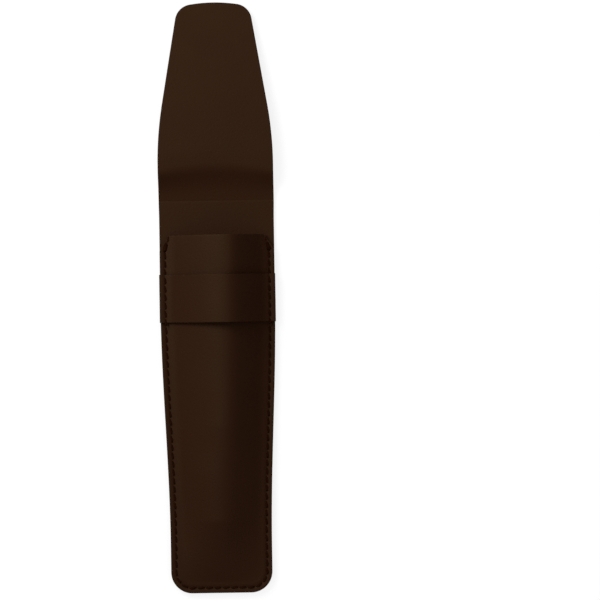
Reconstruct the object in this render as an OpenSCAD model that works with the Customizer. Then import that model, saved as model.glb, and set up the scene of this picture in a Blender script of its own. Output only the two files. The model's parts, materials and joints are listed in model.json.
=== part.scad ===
// Sleeve for one pen, lying open on its back. A long back panel runs on past the pocket's mouth into a
// flap that folds over it. A domed front is sewn to the back along a U seam, and a strap is sewn over
// the front for the flap to tuck under. Every panel is an outer skin bonded to a lining.
// X runs across the sleeve, Y from its foot to the flap's tip, and Z away from the table.

/* [Back and pocket] */
// Width of the back beside the strap
back_w = 45.8; // [43:0.1:50]
// Width of the back just above its bottom corners
foot_w = 40.4; // [37:0.1:43]
// Radius of the bottom corners
corner_r = 8.5; // [7:0.5:12]
// Distance up from the foot at which the back starts to widen
widen_from = 20; // [14:1:30]
// Distance up from the foot at which the back has its full width
widen_to = 115; // [90:1:125]
// Distance up from the foot to the pocket's mouth
mouth_at = 142.9; // [138:0.1:148]
// Distance up from the foot to the first crease of the fold
crease_at = 156.7; // [152:0.1:165]
// Thickness of one skin, half of a panel
skin = 0.6; // [0.4:0.1:0.8]

/* [Front panel] */
// Width of the flat border that is sewn down at the sides and the foot
border = 4.2; // [3.8:0.1:6]
// Height inside the pocket that the ridge comes near at the mouth
ridge_height = 12.6; // [9:0.1:13]
// Distance over which the ridge rises towards its full height
ridge_rise = 38; // [25:1:50]
// Fullness of the dome across the pocket, more being rounder
dome_power = 1.6; // [1.4:0.1:1.7]
// Place of the ridge to the right of the middle at its lower end
ridge_low_x = 0.3; // [-2:0.1:2]
// Place of the ridge to the right of the middle at the mouth
ridge_high_x = 5.2; // [-5:0.1:6]
// Distance up from the foot at which the ridge starts to lean over
ridge_from = 29; // [20:1:40]
// How far the front's corners draw in at the mouth
corner_draw = 3.4; // [2:0.1:3.6]
// Length of the stretch over which those corners draw in
corner_draw_len = 6.5; // [4:0.5:10]

/* [Strap] */
// Distance up from the foot to the strap's lower edge
strap_from = 108.1; // [100:0.1:112]
// Width of the strap's band
strap_w = 19.2; // [14:0.1:22]
// Length of the strap across the sleeve, from edge to edge
strap_across = 46.3; // [43:0.1:50]
// Room between the front's ridge and the strap
strap_room = 2.2; // [1.5:0.1:3]
// Fullness of the strap's arch, more being rounder
strap_power = 1.9; // [1.8:0.1:2.2]

/* [Fold and flap] */
// Width of the folding strip and of the flap's root
flap_w = 46; // [43:0.1:50]
// Length of the folding strip between the two creases
fold_len = 15; // [15:0.5:18]
// Angle at which the folding strip leans up when the sleeve lies open
fold_lean = 17; // [8:1:25]
// Length of the flap from the second crease to its tip
flap_len = 65; // [62:0.5:75]
// Angle at which the flap's sides run in towards the tip
taper = 9.5; // [7:0.5:11]
// Radius of the bend that leads into the tapered sides
taper_r = 145; // [100:5:160]
// Radius of the corners at the tip
tip_corner_r = 7; // [4:0.5:9]
// Radius of the curved end between those corners
tip_end_r = 60; // [45:5:90]

/* [Seam] */
// Distance from the edge to the seam
seam_inset = 2.1; // [1.8:0.1:2.4]
// Distance from one stitch to the next
stitch_pitch = 3.3; // [3:0.1:4]
// Length of the thread that shows in one stitch
stitch_len = 2.2; // [1.6:0.1:2.4]
// Width of the thread
thread_w = 0.8; // [0.6:0.1:1]
// Length of the thread that shows in the tack at each end of the seam
tack_len = 3.2; // [2.6:0.1:3.4]
// Width of a tack, which is the thread sewn to and fro
tack_w = 1.2; // [1:0.1:1.4]

/* [Hidden] */

outer_colour = [0.20, 0.13, 0.08];
lining_colour = [0.24, 0.16, 0.11];
thread_colour = [0.11, 0.06, 0.03];

// Heights of the panels where they lie flat on each other
panel = 2 * skin;
front_top = 2 * panel;
strap_top = 3 * panel;
strap_to = strap_from + strap_w;

// The open flap leans down from the second crease until its tip rests on the table
fold_rise = fold_len * sin(fold_lean);
flap_lean = asin((panel + fold_rise) / norm([flap_len, panel])) - atan(panel / flap_len);
second_crease_at = crease_at + fold_len * cos(fold_lean);
second_crease_z = panel + fold_rise;
open_len = second_crease_at + flap_len * cos(flap_lean);
// Both sides of the second crease are cut back to its middle plane
mitre = (fold_lean + flap_lean) / 2;

// Straight steps in each curve
corner_steps = 8;
side_steps = 12;
taper_steps = 8;
tip_steps = 8;
front_rows = 28;
front_left_steps = 12;
front_right_steps = 10;
strap_steps = 14;

// Thread: its bars stand a little proud of the leather, and its legs go halfway through
stitch_proud = 0.3;
stitch_sunk = 0.2;
tack_proud = 0.45;
leg_d = 0.6;
leg_fn = 16;
// Distance from the mouth to the seam's last stitch, and its share in the corner's drawing in
last_stitch_gap = 1.4;
seam_follow = 0.5;

// The seam runs from the middle of the foot, round a corner and up a side
foot_run = foot_w / 2 - corner_r;
seam_corner_r = corner_r - seam_inset;
corner_run = seam_corner_r * PI / 2;
half_seam = foot_run + corner_run + mouth_at - last_stitch_gap - corner_r;
half_stitches = round(half_seam / stitch_pitch + 0.5);
even_pitch = half_seam / (half_stitches - 0.5);
tack_number = half_stitches - 2;

// Rises from 0 to 1 with level ends
function ease(t) = let (c = max(0, min(1, t))) c * c * (3 - 2 * c);

// Half the back's width at a distance up from the foot, above the bottom corners
function side_at(d) =
    foot_w / 2 + (back_w - foot_w) / 2 * ease((d - widen_from) / (widen_to - widen_from));

// The same with the bottom corners rounded off
function edge_at(d) =
    let (below = max(0, corner_r - d))
    side_at(d) - corner_r + sqrt(corner_r * corner_r - below * below);

// How far the front's edge has drawn in at a distance up from the foot
function drawn_in(d) = corner_draw * ease((d - mouth_at + corner_draw_len) / corner_draw_len);

// Place across the sleeve and inner height of the ridge at a distance up from the foot
function ridge_x(d) =
    ridge_low_x + (ridge_high_x - ridge_low_x) * max(0, d - ridge_from) / (mouth_at - ridge_from);
function ridge_z(d) = ridge_height * (1 - exp(-max(0, d - border) / ridge_rise));

// Share of the ridge's height at t of the way from a border to the ridge
function arch(t, power) = 1 - pow(1 - t, power);

// A cross-section from the left edge to the right edge, as [x, share of the ridge's height]
function section(edge, inner, ridge, power, left_steps, right_steps) = concat(
    [[-edge, 0]],
    [for (i = [0:left_steps])
        let (t = i / left_steps) [-inner + (ridge + inner) * t, arch(t, power)]],
    [for (i = [right_steps - 1:-1:0])
        let (t = i / right_steps) [inner - (inner - ridge) * t, arch(t, power)]],
    [[edge, 0]]
);

// A closed outline from the points of its right side, foot first
function mirrored(side) = concat(side, [for (i = [len(side) - 1:-1:0]) [-side[i].x, side[i].y]]);

function back_side() = concat(
    [for (i = [0:corner_steps])
        let (a = 90 * i / corner_steps) [foot_run + corner_r * sin(a), corner_r * (1 - cos(a))]],
    [for (i = [0:side_steps])
        let (d = widen_from + (widen_to - widen_from) * i / side_steps) [side_at(d), d]],
    [[back_w / 2, crease_at]]
);

// The flap's right side from the second crease, with the tip's corner touching side and end
function flap_side() =
    let (
        end_y = flap_len - tip_end_r,
        taper_end = [flap_w / 2 - taper_r * (1 - cos(taper)), taper_r * sin(taper)],
        side_reach = taper_end * [cos(taper), sin(taper)],
        corner_reach = tip_end_r - tip_corner_r,
        turn = asin((side_reach - tip_corner_r - end_y * sin(taper)) / corner_reach) - taper,
        corner = [corner_reach * sin(turn), end_y + corner_reach * cos(turn)]
    )
    concat(
        [for (i = [0:taper_steps])
            let (a = taper * i / taper_steps)
            [flap_w / 2 - taper_r * (1 - cos(a)), taper_r * sin(a)]],
        [for (i = [0:tip_steps])
            let (a = taper + (90 - turn - taper) * i / tip_steps)
            corner + tip_corner_r * [cos(a), sin(a)]],
        [for (i = [1:tip_steps - 1])
            let (a = 90 - turn + turn * i / tip_steps)
            [tip_end_r * cos(a), end_y + tip_end_r * sin(a)]]
    );

// Place and direction of the seam at a distance along it from the middle of the foot
function seam_place(u) =
    u < foot_run ? [u, seam_inset, 0] :
    u < foot_run + corner_run ?
        let (a = 90 * (u - foot_run) / corner_run)
        [foot_run + seam_corner_r * sin(a), corner_r - seam_corner_r * cos(a), a] :
    let (d = corner_r + u - foot_run - corner_run)
    [side_at(d) - seam_inset - seam_follow * drawn_in(d), d, 90];

// Height of the leather under a stitch
function top_at(d) = d > strap_from && d < strap_to ? strap_top : front_top;

// Puts the middle of the open sleeve's length at the origin
module placed() {
    translate([0, -open_len / 2, 0])
        children();
}

// Extrudes an outline drawn as [y, z] across the sleeve
module across(width) {
    rotate([90, 0, 90])
        linear_extrude(height = width, center = true)
            children();
}

// Moves a panel drawn from a crease, with its lining's face level with the crease, to its lean
module leaning(angle, y, z) {
    placed()
        translate([0, y, z])
            rotate([angle, 0, 0])
                children();
}

module back_sheet(low) {
    placed()
        translate([0, 0, low])
            linear_extrude(height = skin)
                polygon(mirrored(back_side()));
}

// One skin of the folding strip, from a depth below its lining's face to a lower one. Its first end
// is cut at half its lean, so that it stays above the table, and its second end is mitred.
module fold_sheet(high, low) {
    leaning(fold_lean, crease_at, panel)
        across(flap_w)
            polygon([
                [low * tan(fold_lean / 2), low],
                [fold_len + low * tan(mitre), low],
                [fold_len + high * tan(mitre), high],
                [high * tan(fold_lean / 2), high]
            ]);
}

// One skin of the flap, mitred at the crease and cut to the flap's outline
module flap_sheet(high, low) {
    leaning(-flap_lean, second_crease_at, second_crease_z)
        intersection() {
            across(flap_w)
                polygon([
                    [-low * tan(mitre), low],
                    [flap_len, low],
                    [flap_len, high],
                    [-high * tan(mitre), high]
                ]);
            translate([0, 0, -panel])
                linear_extrude(height = panel)
                    polygon(mirrored(flap_side()));
        }
}

// One skin of the front: a sheet over a grid of rows up the sleeve and columns across it
module front_sheet(low) {
    rows = concat(
        [for (i = [0:corner_steps - 1]) corner_r * (1 - cos(90 * i / corner_steps))],
        [for (i = [0:front_rows]) corner_r + (mouth_at - corner_r) * i / front_rows]
    );
    grid = [for (d = rows)
        let (
            outline = section(edge_at(d) - drawn_in(d), edge_at(d) - border, ridge_x(d), dome_power,
                front_left_steps, front_right_steps)
        )
        [for (p = outline) [p.x, d, low + ridge_z(d) * p.y]]
    ];
    columns = len(grid[0]);
    last_row = len(rows) - 1;
    last_column = columns - 1;
    upper = len(rows) * columns;
    points = concat(
        [for (row = grid) each row],
        [for (row = grid) for (p = row) p + [0, 0, skin]]
    );
    faces = concat(
        [for (r = [0:last_row - 1]) for (c = [0:last_column - 1])
            let (a = r * columns + c, b = a + 1, e = a + columns, f = e + 1)
            each [
                [a, b, f],
                [a, f, e],
                [a + upper, f + upper, b + upper],
                [a + upper, e + upper, f + upper]
            ]],
        [for (c = [0:last_column - 1])
            let (a = c, b = c + 1)
            each [
                [a, a + upper, b + upper],
                [a, b + upper, b]
            ]],
        [for (c = [0:last_column - 1])
            let (a = last_row * columns + c, b = a + 1)
            each [
                [b, b + upper, a + upper],
                [b, a + upper, a]
            ]],
        [for (r = [0:last_row - 1])
            let (a = r * columns, b = a + columns)
            each [
                [b, b + upper, a + upper],
                [b, a + upper, a]
            ]],
        [for (r = [0:last_row - 1])
            let (a = r * columns + last_column, b = a + columns)
            each [
                [a, a + upper, b + upper],
                [a, b + upper, b]
            ]]
    );
    placed()
        polyhedron(points, faces);
}

// One skin of the strap, whose arch clears the front all the way
module strap_sheet(low) {
    middle = strap_from + strap_w / 2;
    rise = ridge_z(strap_to) + strap_room;
    outline = section(strap_across / 2, side_at(middle) - border, ridge_x(middle), strap_power,
        strap_steps, strap_steps);
    last = len(outline) - 1;
    placed()
        translate([0, strap_to, 0])
            rotate([90, 0, 0])
                linear_extrude(height = strap_w)
                    polygon(concat(
                        [for (p = outline) [p.x, low + rise * p.y]],
                        [for (i = [last:-1:0]) [outline[i].x, low + skin + rise * outline[i].y]]
                    ));
}

// A bar of thread along X between two heights
module bar(length, width, low, high) {
    translate([-length / 2, -width / 2, low])
        cube([length, width, high - low]);
}

// The two legs of a stitch, where its thread goes through the leather
module legs(length, low, high) {
    for (side = [-1, 1])
        translate([side * (length - leg_d) / 2, 0, low])
            cylinder(h = high - low, d = leg_d, $fn = leg_fn);
}

// Puts a stitch on the seam, by its number from the middle of the foot, on one side
module on_seam(number, side) {
    place = seam_place((number + 0.5) * even_pitch);
    placed()
        translate([side * place.x, place.y, 0])
            rotate([0, 0, side * place.z])
                children();
}

module seam(needle) {
    for (side = [-1, 1])
        for (number = [0:half_stitches - 1])
            if (number != tack_number) {
                top = top_at(seam_place((number + 0.5) * even_pitch).y);
                on_seam(number, side)
                    if (needle) {
                        bar(stitch_len, thread_w, top - stitch_sunk, top + stitch_proud);
                        legs(stitch_len, top / 2, top);
                    } else {
                        bar(stitch_len, thread_w, 0, stitch_sunk + stitch_proud);
                        legs(stitch_len, stitch_sunk, top / 2);
                    }
            }
}

module mouth_tack(side) {
    on_seam(tack_number, side) {
        bar(tack_len, tack_w, front_top - stitch_sunk, front_top + tack_proud);
        bar(tack_len, tack_w, 0, stitch_sunk + stitch_proud);
        legs(tack_len, stitch_sunk, front_top);
    }
}

module back_outer_skin() {
    color(outer_colour)
        back_sheet(0);
}

module back_lining() {
    color(lining_colour)
        back_sheet(skin);
}

module front_lining() {
    color(lining_colour)
        front_sheet(panel);
}

module front_outer_skin() {
    color(outer_colour)
        front_sheet(panel + skin);
}

module strap_lining() {
    color(lining_colour)
        strap_sheet(front_top);
}

module strap_outer_skin() {
    color(outer_colour)
        strap_sheet(front_top + skin);
}

module fold_lining() {
    color(lining_colour)
        fold_sheet(0, -skin);
}

module fold_outer_skin() {
    color(outer_colour)
        fold_sheet(-skin, -panel);
}

module flap_lining() {
    color(lining_colour)
        flap_sheet(0, -skin);
}

module flap_outer_skin() {
    color(outer_colour)
        flap_sheet(-skin, -panel);
}

module seam_needle_thread() {
    color(thread_colour)
        seam(needle = true);
}

module seam_bobbin_thread() {
    color(thread_colour)
        seam(needle = false);
}

module left_mouth_tack() {
    color(thread_colour)
        mouth_tack(-1);
}

module right_mouth_tack() {
    color(thread_colour)
        mouth_tack(1);
}

back_outer_skin();
back_lining();
front_outer_skin();
front_lining();
strap_outer_skin();
strap_lining();
fold_outer_skin();
fold_lining();
flap_outer_skin();
flap_lining();
seam_needle_thread();
seam_bobbin_thread();
left_mouth_tack();
right_mouth_tack();
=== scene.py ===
"""A slim leatherette sleeve with a folding flap, lying open on its back on a white table.

Each panel is two skins of leatherette bonded back to back. A skin is cut as a flat plate from its
real outline, gets its thickness and its rounded cut edges there, and is then bent into its place.
A place on a panel is given by three numbers: x across the sleeve, d up from the sleeve's foot and
h up from the panel's underside.
"""
import json
import math
import random

import bmesh
import bpy
from mathutils import Matrix, Vector, noise


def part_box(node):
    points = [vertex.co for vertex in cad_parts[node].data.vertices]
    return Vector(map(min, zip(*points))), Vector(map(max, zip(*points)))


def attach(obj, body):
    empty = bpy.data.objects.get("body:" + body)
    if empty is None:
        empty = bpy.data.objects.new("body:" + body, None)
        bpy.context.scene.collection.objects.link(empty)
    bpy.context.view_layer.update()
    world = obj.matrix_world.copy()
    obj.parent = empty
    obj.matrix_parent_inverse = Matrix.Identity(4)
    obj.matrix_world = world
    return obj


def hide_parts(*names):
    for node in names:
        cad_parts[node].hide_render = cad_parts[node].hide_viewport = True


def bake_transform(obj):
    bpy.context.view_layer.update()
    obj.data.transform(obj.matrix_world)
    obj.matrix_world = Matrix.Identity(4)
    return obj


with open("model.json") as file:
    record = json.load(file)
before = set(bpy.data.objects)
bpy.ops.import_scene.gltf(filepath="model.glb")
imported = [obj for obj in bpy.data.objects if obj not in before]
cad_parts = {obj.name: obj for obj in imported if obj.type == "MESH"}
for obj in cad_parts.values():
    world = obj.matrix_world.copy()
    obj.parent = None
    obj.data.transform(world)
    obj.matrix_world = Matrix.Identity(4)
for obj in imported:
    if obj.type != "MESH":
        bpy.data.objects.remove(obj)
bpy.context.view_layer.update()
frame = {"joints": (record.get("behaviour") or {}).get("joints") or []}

MM = 0.001

# Places and sizes that the frame gives
back_low, back_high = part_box("back_outer_skin")
front_low, front_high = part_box("front_outer_skin")
strap_low, strap_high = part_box("strap_outer_skin")
AXES = {joint["name"]: Vector(joint["pos_m"]) for joint in frame["joints"]}
FOOT_Y = back_low.y
SKIN = back_high.z - back_low.z
PANEL = 2 * SKIN
CREASE = AXES["fold_bend"].y - FOOT_Y
MOUTH = front_high.y - FOOT_Y
STRAP_FROM = strap_low.y - FOOT_Y
STRAP_TO = strap_high.y - FOOT_Y
STRAP_HALF = strap_high.x

# Back and pocket
BACK_HALF = 22.9 * MM
FOOT_HALF = 20.2 * MM
CORNER_R = 8.5 * MM
WIDEN_FROM = 20 * MM
WIDEN_TO = 115 * MM
BORDER = 4.2 * MM

# The front's dome over the pocket, with the ridge along it
RIDGE_HEIGHT = 12.6 * MM
RIDGE_RISE = 38 * MM
RIDGE_WIDTH = 7.5 * MM
# The ridge leans to the right towards the mouth, and stands a little aside along its middle
RIDGE_LOW_X = 0.3 * MM
RIDGE_HIGH_X = 5.2 * MM
RIDGE_FROM = 29 * MM
RIDGE_ASIDE = 0.8 * MM
ASIDE_RISE = (46 * MM, 60 * MM)
ASIDE_FALL = (80 * MM, 120 * MM)
# Height along the ridge, by distance from the foot: straight stretches with soft shoulders
RIDGE_LINE = [(BORDER, 0), (29 * MM, 7.5 * MM), (67 * MM, 10.7 * MM), (150 * MM, 12.4 * MM)]
SHOULDER = 0.9 * MM
DOME_POWER = 1.08
BORDER_BEND = 2.4 * MM
# How round the ridge's top is near the foot and near the mouth, and where the one becomes the other
FOOT_ROUND = 0.55
RIDGE_ROUND = 0.3
ROUND_CHANGE = (40 * MM, 75 * MM)
CORNER_DRAW = 3.4 * MM
CORNER_DRAW_LENGTH = 6.5 * MM

# The strap's arch over the front
STRAP_ROOM = 1.75 * MM
STRAP_POWER = 1.08

# Folding strip and flap, by distance along the leather from the first crease
FOLD_LENGTH = 15 * MM
FOLD_CUT = 7.5 * MM
FLAP_HALF = 23 * MM
FLAP_LENGTH = 65 * MM
FLAP_TAPER = math.radians(9.5)
FLAP_TAPER_R = 145 * MM
TIP_CORNER_R = 7 * MM
TIP_END_R = 60 * MM
# Slope of the leather at a few distances from the first crease, in degrees
SLOPES = [(0, 0), (1.0 * MM, 8), (10.8 * MM, 26.5), (16.6 * MM, 1.5), (24 * MM, -2), (80 * MM, -5.7)]
SLOPE_STEP = 0.1 * MM
SLOPES_END = 81 * MM
# How much nearer to the crease the fold's crest is at the sides
CREST_ARCH = 2.8 * MM
CREST_POWER = 2.2
CREST_RISE = 14 * MM
CREST_FALL = (16 * MM, 61 * MM)
CREASE_DEPTH = 0.08 * MM
CREASE_WIDTH = 0.25 * MM

# A slow unevenness of each panel: its size, its depth and its place in the noise
FRONT_WAVES = (16 * MM, 0.25 * MM, 3.1)
STRAP_WAVES = (14 * MM, 0.12 * MM, 7.7)
FLAP_WAVES = (22 * MM, 0.3 * MM, 1.4)
FLAP_WAVES_RISE = 12 * MM

# Cut skins: columns and rows of each plate, its edges, and the gap within which places count as one
BACK_GRID = (84, 330)
FLAP_GRID = (60, 150)
FRONT_GRID = (84, 300)
STRAP_GRID = (110, 36)
EDGE_RADIUS = 0.18 * MM
BONDED_RADIUS = 0.04 * MM
MERGE_GAP = 0.01 * MM

# Seam
SEAM_INSET = 2.1 * MM
SEAM_FOLLOW = 0.5
LAST_STITCH_GAP = 1.4 * MM
STITCH_PITCH = 3.3 * MM
THREAD_WIDTH = 0.8 * MM
THREAD_HEIGHT = 0.6 * MM
PLY_DEPTH = 0.16
STITCH_SLANT = math.radians(7)
STITCH_SHAKE = 0.03
# Length of a stitch against the pitch, and how far its ends go down
SEAM_STITCH = (0.82, 0.46 * MM)
TACK_STITCH = (1.08, 0.4 * MM)
# The tack's three runs of thread: aside and up in millimetres, with the slant between them
TACK_RUNS = ((-0.42, 0.1, 0.02), (0.42, -0.1, 0.02), (0, 0.02, 0.22))
NEEDLE_LIFT = 0.02 * MM
BOBBIN_HEIGHT = 0.33 * MM
TACK_BOBBIN_HEIGHT = 0.35 * MM
# The leather around the seam: a groove, a dent at each hole and a swell on both sides
RELIEF_REACH = 3 * MM
GROOVE_DEPTH = 0.14 * MM
GROOVE_WIDTH = 0.75 * MM
DENT_DEPTH = 0.2 * MM
DENT_WIDTH = 0.5 * MM
DENT_LENGTH = 0.7 * MM
SWELL_HEIGHT = 0.05 * MM
SWELL_FROM_SEAM = 1.5 * MM
SWELL_WIDTH = 0.5 * MM

PI = math.pi


def ease(t):
    """Rises from 0 to 1 with level ends."""
    t = min(1.0, max(0.0, t))
    return t * t * (3 - 2 * t)


def ease_over(t, stretch):
    """Rises from 0 to 1 over a stretch from one place to another."""
    start, end = stretch
    return ease((t - start) / (end - start))


def soft_ramp(t, bend):
    """Is 0 below the bend and t above it, and turns smoothly in between."""
    if t <= -bend:
        return 0.0
    if t >= bend:
        return t
    return (t + bend) ** 2 / (4 * bend)


def eased_between(t, points):
    """Goes from value to value through a few (place, value) points, level at each."""
    for (a, low), (b, high) in zip(points, points[1:]):
        if t <= b:
            return low + (high - low) * ease((t - a) / (b - a))
    return points[-1][1]


# Outlines. A rim is the right half of an outline, as a list of (length, place along it) stretches
# from the middle of its lower end to the middle of its upper end.

def line(start, end):
    start, end = Vector(start), Vector(end)
    length = (end - start).length
    return length, lambda u: start.lerp(end, u / length)


def arc(centre, radius, first, last):
    length = radius * abs(last - first)
    centre = Vector(centre)

    def place(u):
        angle = first + (last - first) * u / length
        return centre + radius * Vector((math.cos(angle), math.sin(angle)))
    return length, place


def on_rim(rim, u):
    """The place at a distance u along a rim."""
    for length, place in rim:
        if u <= length:
            return place(max(u, 0.0))
        u -= length
    return rim[-1][1](rim[-1][0])


def side_at(d):
    """Half the back's width above its bottom corners."""
    rise = ease((d - WIDEN_FROM) / (WIDEN_TO - WIDEN_FROM))
    over_crease = ease((d - CREASE + FOLD_CUT) / FOLD_CUT)
    return FOOT_HALF + (BACK_HALF - FOOT_HALF) * rise + (FLAP_HALF - BACK_HALF) * over_crease


def edge_at(d):
    """The same with the bottom corners rounded off."""
    below = max(0.0, CORNER_R - d)
    return side_at(d) - CORNER_R + math.sqrt(max(0.0, CORNER_R ** 2 - below ** 2))


FOOT_RUN = FOOT_HALF - CORNER_R


def pocket_rim(top):
    """The U-shaped outline of the back or the front, up to a straight upper end."""
    corner = arc((FOOT_RUN, CORNER_R), CORNER_R, -PI / 2, 0)
    side = (top - CORNER_R, lambda u: Vector((side_at(CORNER_R + u), CORNER_R + u)))
    end = line((side_at(top), top), (0, top))
    rim = [line((0, 0), (FOOT_RUN, 0)), corner, side, end]
    low = FOOT_RUN + corner[0] / 2
    high = FOOT_RUN + corner[0] + side[0]
    return rim, low, high


def flap_rim():
    """The flap's outline from the middle of the folding strip, with d counted from the foot."""
    root = CREASE + FOLD_LENGTH
    taper_end = Vector((FLAP_HALF - FLAP_TAPER_R * (1 - math.cos(FLAP_TAPER)),
                        root + FLAP_TAPER_R * math.sin(FLAP_TAPER)))
    outward = Vector((math.cos(FLAP_TAPER), math.sin(FLAP_TAPER)))
    end_centre = Vector((0, root + FLAP_LENGTH - TIP_END_R))
    reach = TIP_END_R - TIP_CORNER_R
    side_gap = taper_end.dot(outward) - TIP_CORNER_R - end_centre.dot(outward)
    turn = math.asin(side_gap / reach) - FLAP_TAPER
    corner_centre = end_centre + reach * Vector((math.sin(turn), math.cos(turn)))
    corner = arc(corner_centre, TIP_CORNER_R, FLAP_TAPER, PI / 2 - turn)
    rim = [
        line((0, CREASE + FOLD_CUT), (FLAP_HALF, CREASE + FOLD_CUT)),
        line((FLAP_HALF, CREASE + FOLD_CUT), (FLAP_HALF, root)),
        arc((FLAP_HALF - FLAP_TAPER_R, root), FLAP_TAPER_R, 0, FLAP_TAPER),
        line(taper_end, corner_centre + TIP_CORNER_R * outward),
        corner,
        arc(end_centre, TIP_END_R, PI / 2 - turn, PI / 2),
    ]
    high = sum(length for length, _ in rim[:4]) + corner[0] / 2
    return rim, FLAP_HALF, high


def fill_rim(rim, low, high):
    """Spreads a square evenly inside a rim. Its corners lie at the distances low and high."""
    total = sum(length for length, _ in rim)
    low_corner = on_rim(rim, low)
    high_corner = on_rim(rim, high)

    def end_place(across, middle, corner):
        side = 2 * across - 1
        place = on_rim(rim, middle + (corner - middle) * abs(side))
        return Vector((math.copysign(place.x, side), place.y))

    def place(across, up):
        lower = end_place(across, 0, low)
        upper = end_place(across, total, high)
        right = on_rim(rim, low + (high - low) * up)
        side = Vector((right.x * (2 * across - 1), right.y))
        low_mix = Vector((low_corner.x * (2 * across - 1), low_corner.y))
        high_mix = Vector((high_corner.x * (2 * across - 1), high_corner.y))
        return lower.lerp(upper, up) + side - low_mix.lerp(high_mix, up)
    return place


# Cutting a skin

# The attribute that keeps each point's place on the flat cut
GROUND = "flat_place"


def cut_skin(place, grid, low, crowding=(0.6, 0.35), bisect_at=(), uncut_at=None):
    """A flat plate of leatherette from the height low up, with its edges rounded.

    The plate's rows can be crowded towards its lower end and its columns towards its sides, and it
    is divided again at the distances bisect_at. Its edge at the distance uncut_at stays square,
    because the leather runs on there.
    """
    columns, rows = grid
    sides, foot = crowding
    high = low + SKIN
    bm = bmesh.new()
    bmesh.ops.create_grid(bm, x_segments=columns, y_segments=rows, size=0.5)
    for v in bm.verts:
        across = v.co.x + 0.5
        up = v.co.y + 0.5
        across -= sides * math.sin(2 * PI * across) / (2 * PI)
        up -= foot * math.sin(PI * up) / PI
        flat = place(across, up)
        v.co = (flat.x, flat.y, high)
    for d in bisect_at:
        bmesh.ops.bisect_plane(bm, geom=bm.verts[:] + bm.edges[:] + bm.faces[:],
                               dist=2 * MERGE_GAP, plane_co=(0, d, 0), plane_no=(0, 1, 0))
    grown = bmesh.ops.extrude_face_region(bm, geom=bm.faces[:])
    lower = [v for v in grown["geom"] if isinstance(v, bmesh.types.BMVert)]
    bmesh.ops.translate(bm, verts=lower, vec=(0, 0, low - high))
    bmesh.ops.recalc_face_normals(bm, faces=bm.faces[:])
    for height in (high, low):
        bonded = abs(height - SKIN) < 0.1 * SKIN
        rim = [e for e in bm.edges
               if all(abs(v.co.z - height) < 0.01 * SKIN for v in e.verts)
               and len(e.link_faces) == 2 and e.calc_face_angle() > 1
               and not (uncut_at and all(abs(v.co.y - uncut_at) < MERGE_GAP for v in e.verts))]
        bmesh.ops.bevel(bm, geom=rim, offset=BONDED_RADIUS if bonded else EDGE_RADIUS,
                        segments=1 if bonded else 3, profile=0.5, affect="EDGES",
                        material=-1, clamp_overlap=True)
    for face in bm.faces:
        face.material_index = 1 if abs(face.normal.z) < 0.9 else 0
    ground = bm.verts.layers.float_vector.new(GROUND)
    for v in bm.verts:
        v[ground] = v.co
    return bm


def finish_piece(name, bm, materials):
    """Makes a mesh object, smooth except at its square edges."""
    mesh = bpy.data.meshes.new(name)
    bm.to_mesh(mesh)
    bm.free()
    mesh.shade_smooth()
    mesh.set_sharp_from_angle(angle=math.radians(50))
    for material in materials:
        mesh.materials.append(material)
    piece = bpy.data.objects.new(name, mesh)
    bpy.context.scene.collection.objects.link(piece)
    return piece


def normal_of(surface, x, d):
    """The upward unit normal of a height that is a function of x and d."""
    step = 0.05 * MM
    slope_x = (surface(x + step, d) - surface(x - step, d)) / (2 * step)
    slope_d = (surface(x, d + step) - surface(x, d - step)) / (2 * step)
    return Vector((-slope_x, -slope_d, 1)).normalized()


# The seam

def drawn_in(d):
    """How far the front's edge is drawn in near the mouth."""
    return CORNER_DRAW * ease((d - MOUTH + CORNER_DRAW_LENGTH) / CORNER_DRAW_LENGTH)


def seam_side(d):
    return side_at(d) - SEAM_INSET - SEAM_FOLLOW * drawn_in(d)


SEAM_R = CORNER_R - SEAM_INSET
SEAM_CORNER = SEAM_R * PI / 2
HALF_SEAM = FOOT_RUN + SEAM_CORNER + MOUTH - LAST_STITCH_GAP - CORNER_R
HALF_STITCHES = round(HALF_SEAM / STITCH_PITCH + 0.5)
EVEN_PITCH = HALF_SEAM / (HALF_STITCHES - 0.5)
TACK_NUMBER = HALF_STITCHES - 2


def seam_place(u):
    """Place and direction of the seam at a distance u from the middle of the foot."""
    if u < FOOT_RUN:
        return u, SEAM_INSET, 0.0
    if u < FOOT_RUN + SEAM_CORNER:
        angle = (u - FOOT_RUN) / SEAM_R
        return FOOT_RUN + SEAM_R * math.sin(angle), CORNER_R - SEAM_R * math.cos(angle), angle
    d = CORNER_R + u - FOOT_RUN - SEAM_CORNER
    step = 0.1 * MM
    lean = math.atan2(seam_side(d + step) - seam_side(d - step), 2 * step)
    return seam_side(d), d, PI / 2 - lean


def from_seam(x, d):
    """Distance along the seam from the middle of the foot, and distance from the seam."""
    x = abs(x)
    if d > CORNER_R:
        return FOOT_RUN + SEAM_CORNER + d - CORNER_R, seam_side(d) - x
    if x < FOOT_RUN:
        return x, d - SEAM_INSET
    across, down = x - FOOT_RUN, CORNER_R - d
    return FOOT_RUN + SEAM_R * math.atan2(across, down), SEAM_R - math.hypot(across, down)


def seam_relief(x, d):
    """How deep the seam has pulled the leather in: a shallow groove with a dent at each hole."""
    along, off = from_seam(x, d)
    if abs(off) > RELIEF_REACH:
        return 0.0
    turns = along / EVEN_PITCH
    to_hole = (turns - round(turns)) * EVEN_PITCH
    groove = GROOVE_DEPTH * math.exp(-(off / GROOVE_WIDTH) ** 2)
    dent = DENT_DEPTH * math.exp(-(off / DENT_WIDTH) ** 2 - (to_hole / DENT_LENGTH) ** 2)
    swell = SWELL_HEIGHT * math.exp(-((abs(off) - SWELL_FROM_SEAM) / SWELL_WIDTH) ** 2)
    return groove + dent - swell


# The front's dome and the strap's arch

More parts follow.
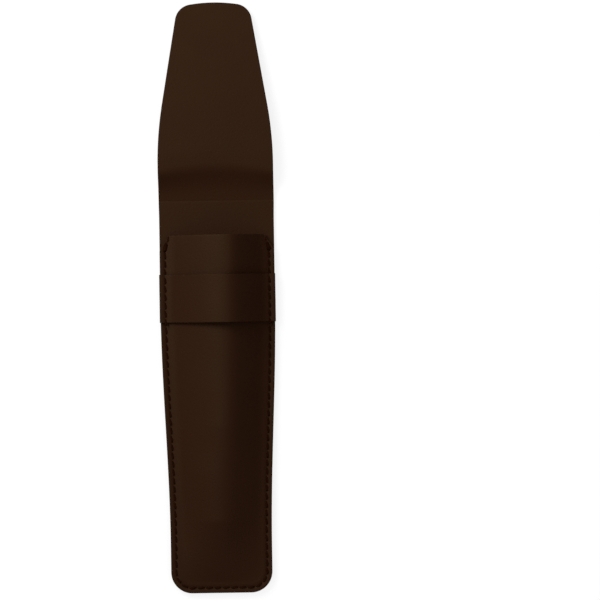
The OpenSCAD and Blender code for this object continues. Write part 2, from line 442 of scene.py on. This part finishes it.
def ridge_x(d):
    lean = max(0.0, d - RIDGE_FROM) / (MOUTH - RIDGE_FROM)
    aside = RIDGE_ASIDE * ease_over(d, ASIDE_RISE) * (1 - ease_over(d, ASIDE_FALL))
    return RIDGE_LOW_X + (RIDGE_HIGH_X - RIDGE_LOW_X) * lean + aside


def ridge_height(d):
    return RIDGE_HEIGHT * (1 - math.exp(-soft_ramp(d - BORDER, BORDER_BEND) / RIDGE_RISE))


def arch(x, inner, ridge, power, rounding):
    """Share of the ridge's height at a place across, between two borders that lie flat."""
    side = 1 if x > ridge else -1
    away = 1 - soft_ramp(inner - side * x, BORDER_BEND) / (inner - side * ridge)
    away = min(1.0, max(0.0, away))
    rounded = math.hypot(away, rounding) - rounding
    return 1 - (rounded / (math.hypot(1, rounding) - rounding)) ** power


def along_ridge(d):
    """Height along the ridge's top, from stretch to stretch."""
    height, slope_before = 0.0, 0.0
    for (a, low), (b, high) in zip(RIDGE_LINE, RIDGE_LINE[1:]):
        slope = (high - low) / (b - a)
        height += (slope - slope_before) * soft_ramp(d - a, SHOULDER)
        slope_before = slope
    return height


def ridge_lift(x, d):
    """How far the leather near the ridge stands above the plain dome."""
    near = math.exp(-((x - ridge_x(d)) / RIDGE_WIDTH) ** 2)
    return (along_ridge(d) - ridge_height(d)) * near


def waviness(x, d, size, depth, seed):
    """A slow unevenness that soft leather has."""
    return depth * noise.noise(Vector((x / size, d / size, seed)))


def front_top(x, d):
    """Height of the front's outer face."""
    inner = edge_at(d) - BORDER
    rounding = FOOT_ROUND + (RIDGE_ROUND - FOOT_ROUND) * ease_over(d, ROUND_CHANGE)
    share = arch(x, inner, ridge_x(d), DOME_POWER, rounding)
    dome = share * (ridge_height(d) + ridge_lift(x, d))
    return 2 * PANEL + dome + share * waviness(x, d, *FRONT_WAVES)


STRAP_MIDDLE = (STRAP_FROM + STRAP_TO) / 2


def strap_under(x, d):
    """Height of the strap's underside."""
    rise = ridge_height(STRAP_TO) + STRAP_ROOM
    inner = side_at(STRAP_MIDDLE) - BORDER
    share = arch(x, inner, ridge_x(STRAP_MIDDLE), STRAP_POWER, RIDGE_ROUND)
    return 2 * PANEL + rise * share + share * waviness(x, d, *STRAP_WAVES)


# Bending the plates into their places

def bend(bm, put):
    for v in bm.verts:
        v.co = put(*v.co)
        v.co.y += FOOT_Y


def put_front(x, d, h):
    """The front's border narrows where its corners are drawn in at the mouth."""
    inner = edge_at(d) - BORDER
    if abs(x) > inner:
        kept = (BORDER - drawn_in(d)) / BORDER
        x = math.copysign(inner + (abs(x) - inner) * kept, x)
    if h > SKIN:
        h -= seam_relief(x, d) * (h - SKIN) / SKIN
    return Vector((x, d, front_top(x, d))) + (h - PANEL) * normal_of(front_top, x, d)


def put_strap(x, d, h):
    if h > SKIN:
        h -= seam_relief(x, d) * (h - SKIN) / SKIN
    return Vector((x, d, strap_under(x, d))) + h * normal_of(strap_under, x, d)


def fold_line():
    """Place, height and slope of the lining's face at even steps from the crease."""
    y, z = CREASE, PANEL
    places = [(y, z, 0.0)]
    for i in range(round(SLOPES_END / SLOPE_STEP)):
        slope = math.radians(eased_between((i + 0.5) * SLOPE_STEP, SLOPES))
        y += SLOPE_STEP * math.cos(slope)
        z += SLOPE_STEP * math.sin(slope)
        places.append((y, z, math.radians(eased_between((i + 1) * SLOPE_STEP, SLOPES))))
    return places


FOLD_PLACES = fold_line()


def fold_place(s):
    step = min(s / SLOPE_STEP, len(FOLD_PLACES) - 1.001)
    i = int(step)
    return [a + (b - a) * (step - i) for a, b in zip(FOLD_PLACES[i], FOLD_PLACES[i + 1])]


def crest_shift(x, s):
    """The fold's crest comes nearer to the crease towards the sides, so it looks arched."""
    aside = min(1.0, abs(x) / FLAP_HALF)
    return CREST_ARCH * aside ** CREST_POWER * ease(s / CREST_RISE) * (1 - ease_over(s, CREST_FALL))


def crease_groove(s):
    return CREASE_DEPTH * math.exp(-(s / CREASE_WIDTH) ** 2)


def put_back(x, d, h):
    """The back lies flat, and beyond the first crease the same leather rises into the fold."""
    s = d - CREASE
    if h < SKIN:
        h += max(0.0, seam_relief(x, d)) * (1 - h / SKIN) * ease((MOUTH - d) / MM)
    else:
        h -= crease_groove(s) * (h - SKIN) / SKIN
    if s <= 0:
        return Vector((x, d, h))
    y = fold_place(s)[0]
    _, z, slope = fold_place(s + crest_shift(x, s))
    lift = h - PANEL
    z += waviness(x, d, *FLAP_WAVES) * ease(s / FLAP_WAVES_RISE) * (1 - ease(s / FLAP_LENGTH))
    return Vector((x, y - lift * math.sin(slope), z + lift * math.cos(slope)))


# Thread

def stitch_mesh(share, dive):
    """One stitch of two-ply thread along X, whose ends go down into the leather."""
    length = share * EVEN_PITCH
    bm = bmesh.new()
    bmesh.ops.create_cone(bm, cap_ends=True, segments=8, radius1=0.5, radius2=0.5, depth=1)
    long_edges = [e for e in bm.edges if abs(e.verts[0].co.z - e.verts[1].co.z) > 0.5]
    bmesh.ops.subdivide_edges(bm, edges=long_edges, cuts=7, use_grid_fill=True)
    ground = bm.verts.layers.float_vector.new(GROUND)
    for v in bm.verts:
        t = 2 * v.co.z
        angle = math.atan2(v.co.y, v.co.x)
        twist = 0.75 * PI * t
        lobe = 1 + PLY_DEPTH * math.cos(2 * angle)
        narrow = 1 - 0.2 * t ** 4
        y = 0.5 * THREAD_WIDTH * lobe * narrow * math.cos(angle + twist)
        z = 0.5 * THREAD_HEIGHT * lobe * narrow * math.sin(angle + twist)
        v[ground] = (0.5 * length * t, angle * THREAD_WIDTH, 0)
        v.co = (0.5 * length * t, y, z - dive * t ** 4)
    bmesh.ops.recalc_face_normals(bm, faces=bm.faces[:])
    mesh = bpy.data.meshes.new("stitch")
    bm.to_mesh(mesh)
    bm.free()
    return mesh


def add_copy(bm, mesh, place):
    before = len(bm.verts)
    bm.from_mesh(mesh)
    bm.verts.ensure_lookup_table()
    bmesh.ops.transform(bm, matrix=place, verts=bm.verts[before:])


def stitch_frame(number, side, height, slant, shake, flip=False):
    """Where a stitch lies, by its number from the middle of the foot."""
    x, d, angle = seam_place((number + 0.5) * EVEN_PITCH)
    angle = side * angle + slant + shake.uniform(-STITCH_SHAKE, STITCH_SHAKE)
    where = Matrix.Translation((side * x, FOOT_Y + d, height))
    turned = where @ Matrix.Rotation(angle, 4, "Z")
    return turned @ Matrix.Rotation(PI, 4, "X") if flip else turned


def leather_top(d):
    on_strap = STRAP_FROM < d < STRAP_TO
    return 3 * PANEL if on_strap else 2 * PANEL


def make_seam(name, needle):
    shake = random.Random(5 if needle else 6)
    stitch = stitch_mesh(*SEAM_STITCH)
    bm = bmesh.new()
    for side in (-1, 1):
        for number in range(HALF_STITCHES):
            if number == TACK_NUMBER:
                continue
            d = seam_place((number + 0.5) * EVEN_PITCH)[1]
            if needle:
                top = leather_top(d) + NEEDLE_LIFT
                place = stitch_frame(number, side, top, STITCH_SLANT, shake)
            else:
                place = stitch_frame(number, side, BOBBIN_HEIGHT, -STITCH_SLANT, shake, flip=True)
            add_copy(bm, stitch, place)
    return finish_piece(name, bm, [thread])


def make_tack(name, side):
    """The thread sewn to and fro, three times over, on both faces."""
    shake = random.Random(8 + side)
    stitch = stitch_mesh(*TACK_STITCH)
    bm = bmesh.new()
    for across, slant, lift in TACK_RUNS:
        shift = Matrix.Translation((0, across * MM, 0))
        top = stitch_frame(TACK_NUMBER, side, 2 * PANEL + lift * MM, slant, shake)
        add_copy(bm, stitch, top @ shift)
        bottom = stitch_frame(TACK_NUMBER, side, TACK_BOBBIN_HEIGHT, slant, shake, flip=True)
        add_copy(bm, stitch, bottom @ shift)
    return finish_piece(name, bm, [thread])


# Materials

# The dyed film gives its gloss a warm tint, and a redder one when it is seen along its surface
WARM_GLOSS = (0.72, 0.61, 0.33, 1)
WARM_SHEEN = (1.0, 0.45, 0.2, 1)


def linear(colour):
    """An sRGB hex value as a linear colour with alpha."""
    parts = [int(colour[i:i + 2], 16) / 255 for i in (1, 3, 5)]
    return [c / 12.92 if c <= 0.04045 else ((c + 0.055) / 1.055) ** 2.4 for c in parts] + [1]


def add(tree, kind, settings=None, **inputs):
    """Adds a node. Its inputs are values, or the sockets that they are linked from."""
    node = tree.nodes.new(kind)
    for name, value in (settings or {}).items():
        setattr(node, name, value)
    for name, value in inputs.items():
        key = int(name[1:]) if name[0] == "i" and name[1:].isdigit() else name.replace("_", " ")
        if isinstance(value, bpy.types.NodeSocket):
            tree.links.new(value, node.inputs[key])
        else:
            node.inputs[key].default_value = value
    return node


def new_material(name):
    material = bpy.data.materials.new(name)
    material.use_nodes = True
    tree = material.node_tree
    tree.nodes.clear()
    return material, tree


def in_millimetres(tree):
    """The place on the flat cut, so that the grain stays on the leather when it bends."""
    place = add(tree, "ShaderNodeAttribute", {"attribute_name": GROUND})
    return add(tree, "ShaderNodeVectorMath", {"operation": "SCALE"},
               i0=place.outputs["Vector"], Scale=1000).outputs[0]


def set_surface(tree, shader):
    output = add(tree, "ShaderNodeOutputMaterial")
    tree.links.new(shader.outputs[0], output.inputs["Surface"])


def leatherette(name, colour, shade, roughness):
    """Polyurethane leather: a film embossed with a fine pebbled grain on a cloth back.

    It gives the eye a soft, broken sheen over a deep brown whose tone shifts slowly.
    """
    material, tree = new_material(name)
    place = in_millimetres(tree)
    # Pebbles 0.6 mm wide, with pores between them
    pebbles = add(tree, "ShaderNodeTexVoronoi", {"feature": "SMOOTH_F1"}, Vector=place,
                  Scale=1 / 0.6, Smoothness=0.6, Randomness=1.0)
    fibres = add(tree, "ShaderNodeTexNoise", None, Vector=place, Scale=1 / 0.25, Detail=2.0)
    height = add(tree, "ShaderNodeMath", {"operation": "MULTIPLY_ADD"},
                 i0=fibres.outputs["Fac"], i1=-0.35, i2=pebbles.outputs["Distance"])
    bump = add(tree, "ShaderNodeBump", {"invert": True}, Strength=0.4, Distance=0.0001,
               Height=height.outputs[0])
    clouds = add(tree, "ShaderNodeTexNoise", None, Vector=place, Scale=1 / 14, Detail=3.0)
    tone = add(tree, "ShaderNodeMapRange", None, Value=clouds.outputs["Fac"], i1=0.3, i2=0.7,
               i3=0.25, i4=0.75)
    tint = add(tree, "ShaderNodeMix", {"data_type": "RGBA"}, Factor=tone.outputs[0],
               i6=linear(colour), i7=linear(shade))
    gloss = add(tree, "ShaderNodeMapRange", None, Value=clouds.outputs["Fac"], i1=0.2, i2=0.8,
                i3=roughness - 0.04, i4=roughness + 0.04)
    shader = add(tree, "ShaderNodeBsdfPrincipled", None, Base_Color=tint.outputs[2],
                 Roughness=gloss.outputs[0], Specular_IOR_Level=0.52,
                 Specular_Tint=WARM_GLOSS, Sheen_Weight=0.4, Sheen_Roughness=0.3,
                 Sheen_Tint=WARM_SHEEN, Normal=bump.outputs[0])
    set_surface(tree, shader)
    return material


def painted_edge():
    """Acrylic edge paint: a smooth dark film, seen as a thin dark line round each cut edge."""
    material, tree = new_material("acrylic_edge_paint")
    place = in_millimetres(tree)
    strokes = add(tree, "ShaderNodeTexNoise", None, Vector=place, Scale=1 / 0.8, Detail=2.0)
    bump = add(tree, "ShaderNodeBump", None, Strength=0.3, Distance=0.00005,
               Height=strokes.outputs["Fac"])
    tint = add(tree, "ShaderNodeMix", {"data_type": "RGBA"}, Factor=strokes.outputs["Fac"],
               i6=linear("#180a04"), i7=linear("#221006"))
    shader = add(tree, "ShaderNodeBsdfPrincipled", None, Base_Color=tint.outputs[2],
                 Roughness=0.55, Specular_IOR_Level=0.2, Specular_Tint=WARM_GLOSS,
                 Normal=bump.outputs[0])
    set_surface(tree, shader)
    return material


def sewing_thread():
    """Bonded polyester thread: two twisted plies of fine filaments, dull and a little redder."""
    material, tree = new_material("polyester_thread")
    place = in_millimetres(tree)
    # Filaments 0.05 mm wide, drawn three times as coarse so that they show
    filaments = add(tree, "ShaderNodeTexNoise", None, Vector=place, Scale=1 / 0.15, Detail=1.0)
    bump = add(tree, "ShaderNodeBump", None, Strength=0.5, Distance=0.00005,
               Height=filaments.outputs["Fac"])
    tint = add(tree, "ShaderNodeMix", {"data_type": "RGBA"}, Factor=filaments.outputs["Fac"],
               i6=linear("#1d0701"), i7=linear("#290c02"))
    shader = add(tree, "ShaderNodeBsdfPrincipled", None, Base_Color=tint.outputs[2],
                 Roughness=0.75, Specular_IOR_Level=0.12, Specular_Tint=WARM_GLOSS,
                 Normal=bump.outputs[0])
    set_surface(tree, shader)
    return material


outer = leatherette("outer_pu_leather", "#320e02", "#2e0c02", 0.64)
lining = leatherette("lining_pu_leather", "#330f02", "#2f0d02", 0.65)
edge_paint = painted_edge()
thread = sewing_thread()


# The pieces

def make_back():
    """Back and first half of the folding strip, whose leather rises from the first crease into the
    fold.
    """
    cut = CREASE + FOLD_CUT
    place = fill_rim(*pocket_rim(cut))
    near_crease = [CREASE + s * MM for s in (-0.6, -0.3, 0, 0.3, 0.6, 0.9)]
    for name, nodes, low, material in (
            ("back_leather", ("back_outer_skin", "fold_outer_skin"), 0, outer),
            ("back_inside", ("back_lining", "fold_lining"), SKIN, lining)):
        bm = cut_skin(place, BACK_GRID, low, bisect_at=near_crease, uncut_at=cut)
        bend(bm, put_back)
        piece = finish_piece(name, bm, [material, edge_paint])
        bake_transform(piece)
        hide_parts(*nodes)


def make_flap():
    """Second half of the folding strip and the flap, laid on the same rising and levelling line as the
    back.
    """
    cut = CREASE + FOLD_CUT
    place = fill_rim(*flap_rim())
    for name, node, low, material in (("flap_leather", "flap_outer_skin", 0, outer),
                                      ("flap_inside", "flap_lining", SKIN, lining)):
        bm = cut_skin(place, FLAP_GRID, low, crowding=(0.5, 0.2), uncut_at=cut)
        bend(bm, put_back)
        piece = finish_piece(name, bm, [material, edge_paint])
        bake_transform(piece)
        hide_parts(node)


def make_front():
    place = fill_rim(*pocket_rim(MOUTH))
    for name, node, low, material in (("front_leather", "front_outer_skin", SKIN, outer),
                                      ("front_inside", "front_lining", 0, lining)):
        bm = cut_skin(place, FRONT_GRID, low)
        bend(bm, put_front)
        piece = finish_piece(name, bm, [material, edge_paint])
        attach(piece, "sleeve")
        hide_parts(node)


def make_strap():
    def place(across, up):
        return Vector(((2 * across - 1) * STRAP_HALF, STRAP_FROM + up * (STRAP_TO - STRAP_FROM)))
    for name, node, low, material in (("strap_leather", "strap_outer_skin", SKIN, outer),
                                      ("strap_inside", "strap_lining", 0, lining)):
        bm = cut_skin(place, STRAP_GRID, low, crowding=(0.5, 0))
        bend(bm, put_strap)
        piece = finish_piece(name, bm, [material, edge_paint])
        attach(piece, "sleeve")
        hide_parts(node)


def make_threads():
    needle = make_seam("needle_stitches", needle=True)
    bobbin = make_seam("bobbin_stitches", needle=False)
    left = make_tack("left_tack_stitches", -1)
    right = make_tack("right_tack_stitches", 1)
    for piece, node in ((needle, "seam_needle_thread"), (bobbin, "seam_bobbin_thread"),
                        (left, "left_mouth_tack"), (right, "right_mouth_tack")):
        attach(piece, "sleeve")
        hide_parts(node)


make_back()
make_flap()
make_front()
make_strap()
make_threads()


# The table, the light and the camera

TABLE_SIZE = 3
TABLE_GREY = 0.3
TABLE_GLOW = 0.78
BRIGHT_SIDE = (-0.5, 0.5, 0.7)
BRIGHT_WALL = 0.66
DIM_WALL = 0.5
# The leather's soft sheen comes from the window, so the room and the table are dim in it
MIRRORED = 0.02


def make_table():
    """A smooth white table, which shows as plain white and keeps the sleeve's shadow."""
    bm = bmesh.new()
    bmesh.ops.create_grid(bm, x_segments=1, y_segments=1, size=TABLE_SIZE)
    material, tree = new_material("white_table")
    seen = add(tree, "ShaderNodeLightPath")
    grey = add(tree, "ShaderNodeMapRange", None, Value=seen.outputs["Is Glossy Ray"],
               i3=TABLE_GREY, i4=MIRRORED)
    paint = add(tree, "ShaderNodeBsdfDiffuse", None, Color=grey.outputs[0])
    strength = add(tree, "ShaderNodeMath", {"operation": "MULTIPLY"},
                   i0=seen.outputs["Is Camera Ray"], i1=TABLE_GLOW)
    glow = add(tree, "ShaderNodeEmission", None, Color=(1, 1, 1, 1), Strength=strength.outputs[0])
    both = add(tree, "ShaderNodeAddShader")
    tree.links.new(paint.outputs[0], both.inputs[0])
    tree.links.new(glow.outputs[0], both.inputs[1])
    set_surface(tree, both)
    mesh = bpy.data.meshes.new("table")
    bm.to_mesh(mesh)
    bm.free()
    mesh.materials.append(material)
    table = bpy.data.objects.new("table", mesh)
    table.location.z = -0.02 * MM
    bpy.context.scene.collection.objects.link(table)


def make_world():
    """A room that is brighter on the window's side and darker on the other."""
    world = bpy.data.worlds.new("room")
    world.use_nodes = True
    tree = world.node_tree
    tree.nodes.clear()
    place = add(tree, "ShaderNodeTexCoord")
    towards = add(tree, "ShaderNodeVectorMath", {"operation": "DOT_PRODUCT"},
                  i0=place.outputs["Generated"], i1=BRIGHT_SIDE)
    wall = add(tree, "ShaderNodeMapRange", None, Value=towards.outputs["Value"],
               i1=-0.6, i2=1.0, i3=DIM_WALL, i4=BRIGHT_WALL)
    seen = add(tree, "ShaderNodeLightPath")
    mirrored = add(tree, "ShaderNodeMapRange", None, Value=seen.outputs["Is Glossy Ray"],
                   i3=wall.outputs[0], i4=MIRRORED)
    strength = add(tree, "ShaderNodeMapRange", None, Value=seen.outputs["Is Camera Ray"],
                   i3=mirrored.outputs[0], i4=1.0)
    background = add(tree, "ShaderNodeBackground", None, Color=(1, 1, 1, 1),
                     Strength=strength.outputs[0])
    output = add(tree, "ShaderNodeOutputWorld")
    tree.links.new(background.outputs[0], output.inputs["Surface"])
    bpy.context.scene.world = world


def add_lamp(name, place, size, power):
    light = bpy.data.lights.new(name, "AREA")
    light.size = size
    light.energy = power
    lamp = bpy.data.objects.new(name, light)
    lamp.location = place
    lamp.rotation_euler = Vector(place).to_track_quat("Z", "Y").to_euler()
    bpy.context.scene.collection.objects.link(lamp)


def make_camera():
    """Looks straight down, with the sleeve left of the middle and turned a little, as in the photo."""
    picture_width = 240 * MM
    lens, sensor = 180, 36
    roll = math.radians(-0.89)
    right_of_sleeve, below_middle = 32.9 * MM, 1.0 * MM
    camera = bpy.data.cameras.new("camera")
    camera.lens = lens
    camera.sensor_width = sensor
    mount = bpy.data.objects.new("camera", camera)
    turn = Matrix.Rotation(roll, 3, "Z")
    aim = turn @ Vector((right_of_sleeve, -below_middle, 0))
    mount.location = aim + Vector((0, 0, picture_width * lens / sensor))
    mount.rotation_euler = (0, 0, roll)
    bpy.context.scene.collection.objects.link(mount)
    bpy.context.scene.camera = mount


make_table()
make_world()
add_lamp("window", place=(-0.36, 0.34, 0.42), size=0.35, power=1.85)
make_camera()
bpy.context.scene.view_settings.view_transform = "Standard"
